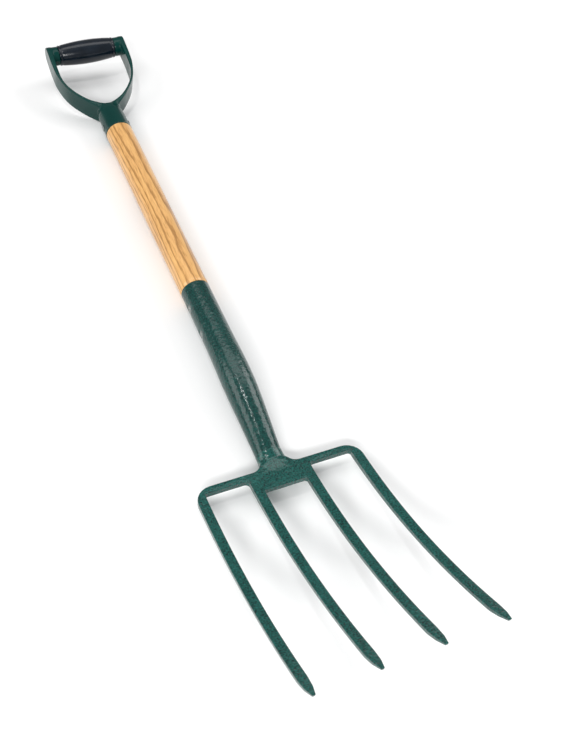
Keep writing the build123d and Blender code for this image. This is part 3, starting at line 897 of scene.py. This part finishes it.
def hammer_enamel(name, low, high, pale_from):
    """Stoved hammer enamel on steel: sprayed, then pitted as it dries. The eye gets dark hollows
    and small bright crowns, which sparkle along a highlight. The pits are drawn 4 mm wide, which
    is coarser than real ones, so that they show."""
    pit, peel_size, cloud = 4.0, 1.7, 28.0      # real sizes of the patterns in millimetres
    material, tree, where = new_finish(name)
    cells = add(tree, "ShaderNodeTexVoronoi", {"Vector": where, "Scale": per(pit),
                                               "Randomness": 1.0, "Smoothness": 0.6},
                feature="SMOOTH_F1")
    peel = add(tree, "ShaderNodeTexNoise", {"Vector": where, "Scale": per(peel_size), "Detail": 2.0})
    patches = add(tree, "ShaderNodeTexNoise", {"Vector": where, "Scale": per(cloud), "Detail": 3.0})
    height = add(tree, "ShaderNodeMath", {0: cells, 1: 2.0, 2: peel}, operation="MULTIPLY_ADD")
    clouds = add(tree, "ShaderNodeMath", {0: patches, 1: 0.25}, operation="MULTIPLY")
    tone = add(tree, "ShaderNodeMath", {0: peel, 1: 1.2, 2: clouds}, operation="MULTIPLY_ADD")
    colour = add(tree, "ShaderNodeValToRGB", {"Fac": tone},
                 stops=[(0.52, linear(low)), (pale_from, linear(high))])
    bump = add(tree, "ShaderNodeBump", {"Height": height, "Strength": 1.0, "Distance": 0.14 * MM})
    gloss = add(tree, "ShaderNodeValToRGB", {"Fac": patches},
                stops=[(0.3, grey(0.18)), (0.7, grey(0.28))])
    return shaded(material, {"Base Color": colour, "Roughness": gloss, "Normal": bump,
                             "Coat Normal": bump, "Specular IOR Level": 0.36,
                             "Coat Weight": 0.25, "Coat Roughness": 0.12})


def enamel_on_tube(c):
    """Hammer enamel over smooth drawn tube, so its crowns are only a little paler."""
    return hammer_enamel("hammer_enamel_on_tube", c.enamel_low, c.enamel_high, 1.0)


def enamel_on_forging(c):
    """The same enamel with paler, denser crowns: a painted sheen for the light the up-facing head
    catches.
    """
    return hammer_enamel("hammer_enamel_on_forging_painted_sheen", c.enamel_low, c.forging_painted_sheen, 0.98)


def lacquered_ash(c):
    """Ash, turned, sanded and clear lacquered: rings cut almost along their length, so the open
    spring wood shows as long darker bands and arches, with fine pores drawn out along the shaft.
    The rings are 5.6 mm apart and the pores 1.2 mm wide, coarser than real ones, so they show."""
    ring_width, pore, streak = 5.6, (1.2, 15, 1.2), (8, 75, 8)  # real sizes in millimetres
    wander_per_metre = (30, 5.0, 30)            # how often the rings waver across and along
    waver = 0.019                               # how far they waver, in metres
    pith_x, pith_z, lean = 0.034, 0.012, 0.020  # the pith's place in metres, and its slant
    material, tree, where = new_finish("lacquered_ash")
    wander_at = add(tree, "ShaderNodeMapping", {"Vector": where, "Scale": wander_per_metre})
    wander = add(tree, "ShaderNodeTexNoise", {"Vector": wander_at, "Scale": 1.0, "Detail": 3.0})
    split = add(tree, "ShaderNodeSeparateXYZ", {"Vector": where}).outputs
    slant = add(tree, "ShaderNodeMath", {0: split["Y"], 1: lean, 2: split["X"]},
                operation="MULTIPLY_ADD")
    from_pith = add(tree, "ShaderNodeMath", {0: slant, 1: pith_x}, operation="ADD")
    depth = add(tree, "ShaderNodeMath", {0: split["Z"], 1: pith_z}, operation="ADD")
    around = add(tree, "ShaderNodeCombineXYZ", {"X": from_pith, "Y": 0.0, "Z": depth})
    ring = add(tree, "ShaderNodeVectorMath", {0: around}, operation="LENGTH").outputs["Value"]
    bent = add(tree, "ShaderNodeMath", {0: wander, 1: waver, 2: ring}, operation="MULTIPLY_ADD")
    turns = add(tree, "ShaderNodeMath", {0: bent, 1: per(ring_width)}, operation="MULTIPLY")
    saw = add(tree, "ShaderNodeMath", {0: turns}, operation="FRACT")
    bands = add(tree, "ShaderNodeValToRGB", {"Fac": saw},
                stops=[(0.0, grey(0.72)), (0.10, grey(0.46)), (0.34, grey(0.16)),
                       (0.84, grey(0.08)), (1.0, grey(0.62))])
    pores_at = add(tree, "ShaderNodeMapping", {"Vector": where, "Scale": [per(v) for v in pore]})
    pores = add(tree, "ShaderNodeTexNoise", {"Vector": pores_at, "Scale": 1.0, "Detail": 2.0,
                                             "Roughness": 0.6})
    streaks_at = add(tree, "ShaderNodeMapping", {"Vector": where,
                                                 "Scale": [per(v) for v in streak]})
    streaks = add(tree, "ShaderNodeTexNoise", {"Vector": streaks_at, "Scale": 1.0, "Detail": 3.0})
    fine = add(tree, "ShaderNodeValToRGB", {"Fac": pores},
               stops=[(0.40, grey(0.0)), (0.72, grey(1.0))])
    lines = add(tree, "ShaderNodeMath", {0: fine, 1: 0.42, 2: bands}, operation="MULTIPLY_ADD")
    tone = add(tree, "ShaderNodeMath", {0: streaks, 1: 0.62, 2: lines}, operation="MULTIPLY_ADD")
    colour = add(tree, "ShaderNodeValToRGB", {"Fac": tone},
                 stops=[(0.28, linear(c.ash_light)), (0.70, linear(c.ash_mid)),
                        (1.0, linear(c.ash_dark))])
    bump = add(tree, "ShaderNodeBump", {"Height": lines, "Strength": 0.12, "Distance": 0.12 * MM})
    gloss = add(tree, "ShaderNodeValToRGB", {"Fac": streaks},
                stops=[(0.3, grey(0.34)), (0.7, grey(0.44))])
    return shaded(material, {"Base Color": colour, "Roughness": gloss, "Normal": bump,
                             "Coat Weight": 0.35, "Coat Roughness": 0.22})


def moulded_plastic(c):
    """Polypropylene frame, injection moulded: glossy, with the faint waviness of shrinkage and
    small scuffs that take the shine off in places."""
    shrinkage, grain_size, scuff_size = 24, 0.9, (9, 3, 9)      # real sizes in millimetres
    scuff_turn = (0.4, 0.2, 0.9)
    material, tree, where = new_finish("moulded_polypropylene")
    sink = add(tree, "ShaderNodeTexNoise", {"Vector": where, "Scale": per(shrinkage), "Detail": 1.0})
    grain = add(tree, "ShaderNodeTexNoise", {"Vector": where, "Scale": per(grain_size),
                                             "Detail": 3.0})
    scuff_at = add(tree, "ShaderNodeMapping", {"Vector": where, "Rotation": scuff_turn,
                                               "Scale": [per(v) for v in scuff_size]})
    scuff = add(tree, "ShaderNodeTexNoise", {"Vector": scuff_at, "Scale": 1.0, "Detail": 4.0})
    base = linear(c.green_plastic)
    colour = add(tree, "ShaderNodeValToRGB", {"Fac": sink},
                 stops=[(0.25, base), (0.85, shade(base, 1.35))])
    gloss = add(tree, "ShaderNodeValToRGB", {"Fac": scuff},
                stops=[(0.35, grey(0.17)), (0.75, grey(0.27))])
    height = add(tree, "ShaderNodeMath", {0: sink, 1: 4.0, 2: grain}, operation="MULTIPLY_ADD")
    bump = add(tree, "ShaderNodeBump", {"Height": height, "Strength": 0.10, "Distance": 0.06 * MM})
    return shaded(material, {"Base Color": colour, "Roughness": gloss, "Normal": bump,
                             "Specular IOR Level": 0.22})


def soft_grip(c):
    """Soft thermoplastic rubber, moulded: nearly black, glossy, with a fine grain and paler worn
    skin where hands rub it."""
    grain_size, wear_size = 0.7, 16             # real sizes in millimetres
    material, tree, where = new_finish("moulded_soft_rubber")
    grain = add(tree, "ShaderNodeTexNoise", {"Vector": where, "Scale": per(grain_size),
                                             "Detail": 3.0})
    wear = add(tree, "ShaderNodeTexNoise", {"Vector": where, "Scale": per(wear_size), "Detail": 3.0})
    base = linear(c.black_grip)
    colour = add(tree, "ShaderNodeValToRGB", {"Fac": wear},
                 stops=[(0.35, base), (0.8, shade(base, 1.6))])
    gloss = add(tree, "ShaderNodeValToRGB", {"Fac": wear},
                stops=[(0.3, grey(0.17)), (0.75, grey(0.25))])
    bump = add(tree, "ShaderNodeBump", {"Height": grain, "Strength": 0.18, "Distance": 0.10 * MM})
    return shaded(material, {"Base Color": colour, "Roughness": gloss, "Normal": bump})


def plated_steel(c):
    """Zinc-plated mild steel, barrelled: pale, slightly hazy metal with a fine tumbled grain."""
    haze_size = 2.0                             # real size in millimetres
    material, tree, where = new_finish("zinc_plated_steel")
    haze = add(tree, "ShaderNodeTexNoise", {"Vector": where, "Scale": per(haze_size), "Detail": 4.0})
    base = linear(c.plated)
    colour = add(tree, "ShaderNodeValToRGB", {"Fac": haze},
                 stops=[(0.3, shade(base, 0.55)), (0.65, base)])
    gloss = add(tree, "ShaderNodeValToRGB", {"Fac": haze},
                stops=[(0.3, grey(0.28)), (0.7, grey(0.45))])
    bump = add(tree, "ShaderNodeBump", {"Height": haze, "Strength": 0.15, "Distance": 0.1 * MM})
    return shaded(material, {"Base Color": colour, "Roughness": gloss, "Normal": bump,
                             "Metallic": 1.0})


def studio_floor(c):
    """Matt painted board, very slightly uneven in tone."""
    material, tree, where = new_finish("studio_floor")
    cloud = add(tree, "ShaderNodeTexNoise", {"Vector": where, "Scale": 1.5, "Detail": 2.0})
    base = linear(c.floor)
    colour = add(tree, "ShaderNodeValToRGB", {"Fac": cloud},
                 stops=[(0.3, shade(base, 0.985)), (0.7, base)])
    return shaded(material, {"Base Color": colour, "Roughness": 0.9, "Specular IOR Level": 0.1})


FINISHES = {}


def finish_named(maker):
    """The material a maker gives, made once."""
    if maker not in FINISHES:
        FINISHES[maker] = maker(read(bpy.context.scene.fork_colours))
    return FINISHES[maker]


# ---------------------------------------------------------------- operators
class MakeHead(bpy.types.Operator):
    """Forge the head: tines, crossbar, centre plate and neck."""
    bl_idname = "fork.head"
    bl_label = "Forged head"

    def execute(self, context):
        new_piece("forged_head", forged_head(), finish_named(enamel_on_forging),
                  "fork_head", 38.0)
        return {"FINISHED"}


class MakeSocket(bpy.types.Operator):
    """Draw the socket tube with its dimples and run the weld round its neck."""
    bl_idname = "fork.socket"
    bl_label = "Socket and weld"

    def execute(self, context):
        enamel = finish_named(enamel_on_tube)
        new_piece("socket_tube", socket_tube(), enamel, "socket", 50.0)
        new_piece("weld_bead", weld_bead(), enamel, "neck_weld", 60.0)
        return {"FINISHED"}


class MakeShaft(bpy.types.Operator):
    """Turn the ash shaft with its tenon and spigot."""
    bl_idname = "fork.shaft"
    bl_label = "Shaft"

    def execute(self, context):
        new_piece("ash_shaft", turned_shaft(), finish_named(lacquered_ash), "shaft")
        return {"FINISHED"}


class MakeRivets(bpy.types.Operator):
    """Drive the two socket rivets and the collar pin."""
    bl_idname = "fork.rivets"
    bl_label = "Rivets and pin"

    def execute(self, context):
        _, t, _ = all_sizes()
        steel = finish_named(plated_steel)
        for name, node, place in (("rivet_upper", "socket_rivet_upper", t.rivet_upper),
                                  ("rivet_lower", "socket_rivet_lower", t.rivet_lower)):
            new_piece(name, socket_rivet(place), steel, node, 50.0)
        new_piece("pin_of_collar", collar_pin(), steel, "collar_pin", 50.0)
        return {"FINISHED"}


class MakeGripFrame(bpy.types.Operator):
    """Mould the D-shaped grip frame with its collar."""
    bl_idname = "fork.grip_frame"
    bl_label = "Grip frame"

    def execute(self, context):
        new_piece("moulded_frame", grip_frame(), finish_named(moulded_plastic),
                  "grip_frame", 60.0)
        return {"FINISHED"}


class MakeSleeve(bpy.types.Operator):
    """Mould the soft sleeve on the hand bar."""
    bl_idname = "fork.sleeve"
    bl_label = "Grip sleeve"

    def execute(self, context):
        new_piece("soft_sleeve", sleeve(), finish_named(soft_grip), "grip_sleeve", 50.0)
        return {"FINISHED"}


FLOOR_HALF = 6.0        # metres from the middle to the floor's edge
LIGHTS = (              # name, place and size in metres, power in watts
    ("key", (-0.45, 0.14, 2.0), (0.10, 0.10), 4.8),
    ("front", (-1.2, -2.3, 2.1), (2.0, 0.38), 66.0),
    ("back", (0.2, 1.1, 2.3), (2.4, 1.0), 15.0),
    ("left", (-2.3, 0.6, 1.5), (1.6, 1.6), 22.0),
    ("right", (2.3, 0.5, 1.7), (1.6, 1.6), 30.0))
SKY_STRENGTH = 0.30
SENSOR_HEIGHT, LENS = 24.0, 32.0                # millimetres
CAMERA_PLACE = (-0.2922, -0.7304, 0.9334)       # metres
CAMERA_TURN = (37.144, -5.324, -22.678)         # degrees about X, Y and Z


class MakeStage(bpy.types.Operator):
    """Lay the pale floor, hang the soft lights and set the camera."""
    bl_idname = "fork.stage"
    bl_label = "Floor, light and camera"

    def execute(self, context):
        scene = context.scene
        half = FLOOR_HALF
        board = bpy.data.meshes.new("floor")
        board.from_pydata([(-half, -half, 0), (half, -half, 0), (half, half, 0), (-half, half, 0)],
                          [], [(0, 1, 2, 3)])
        board.materials.append(finish_named(studio_floor))
        floor = bpy.data.objects.new("floor", board)
        scene.collection.objects.link(floor)
        for name, place, size, power in LIGHTS:
            light = bpy.data.lights.new(name, "AREA")
            light.energy = power
            light.shape = "RECTANGLE"
            light.size, light.size_y = size
            lamp = bpy.data.objects.new(name, light)
            lamp.location = place
            lamp.rotation_euler = (-Vector(place)).to_track_quat("-Z", "Y").to_euler()
            scene.collection.objects.link(lamp)
        world = bpy.data.worlds.new("studio")
        world.use_nodes = True
        sky = world.node_tree.nodes["Background"]
        sky.inputs["Color"].default_value = (1.0, 1.0, 1.0, 1.0)
        sky.inputs["Strength"].default_value = SKY_STRENGTH
        scene.world = world
        scene.view_settings.view_transform = "Standard"
        lens = bpy.data.cameras.new("camera")
        lens.sensor_fit = "VERTICAL"
        lens.sensor_height = SENSOR_HEIGHT
        lens.lens = LENS
        camera = bpy.data.objects.new("camera", lens)
        camera.location = CAMERA_PLACE
        camera.rotation_euler = [math.radians(v) for v in CAMERA_TURN]
        scene.collection.objects.link(camera)
        scene.camera = camera
        return {"FINISHED"}


class ForkPanel(bpy.types.Panel):
    """Lists the fork's pieces, its sizes and its finishes."""
    bl_idname = "VIEW3D_PT_fork"
    bl_label = "Digging fork"
    bl_space_type = "VIEW_3D"
    bl_region_type = "UI"
    bl_category = "Fork"

    def draw(self, context):
        for maker in MAKERS:
            self.layout.operator(maker.bl_idname)
        for group in (context.scene.fork_head, context.scene.fork_tube, context.scene.fork_grip,
                      context.scene.fork_colours):
            box = self.layout.box()
            for name in type(group).__annotations__:
                box.prop(group, name)


GROUPS = {"fork_head": HeadSizes, "fork_tube": TubeSizes, "fork_grip": GripSizes,
          "fork_colours": ForkColours}
MAKERS = (MakeHead, MakeSocket, MakeShaft, MakeRivets, MakeGripFrame, MakeSleeve, MakeStage)


def register():
    """Makes the sizes, the operators and the panel known to Blender."""
    for name, group in GROUPS.items():
        bpy.utils.register_class(group)
        setattr(bpy.types.Scene, name, bpy.props.PointerProperty(type=group))
    for made in MAKERS + (ForkPanel,):
        bpy.utils.register_class(made)


def unregister():
    """Takes them away again."""
    for made in (ForkPanel,) + MAKERS[::-1]:
        bpy.utils.unregister_class(made)
    for name, group in GROUPS.items():
        delattr(bpy.types.Scene, name)
        bpy.utils.unregister_class(group)


def main():
    """Makes every piece in order."""
    register()
    for maker in MAKERS:
        area, name = maker.bl_idname.split(".")
        getattr(getattr(bpy.ops, area), name)()


if __name__ == "__main__":
    main()
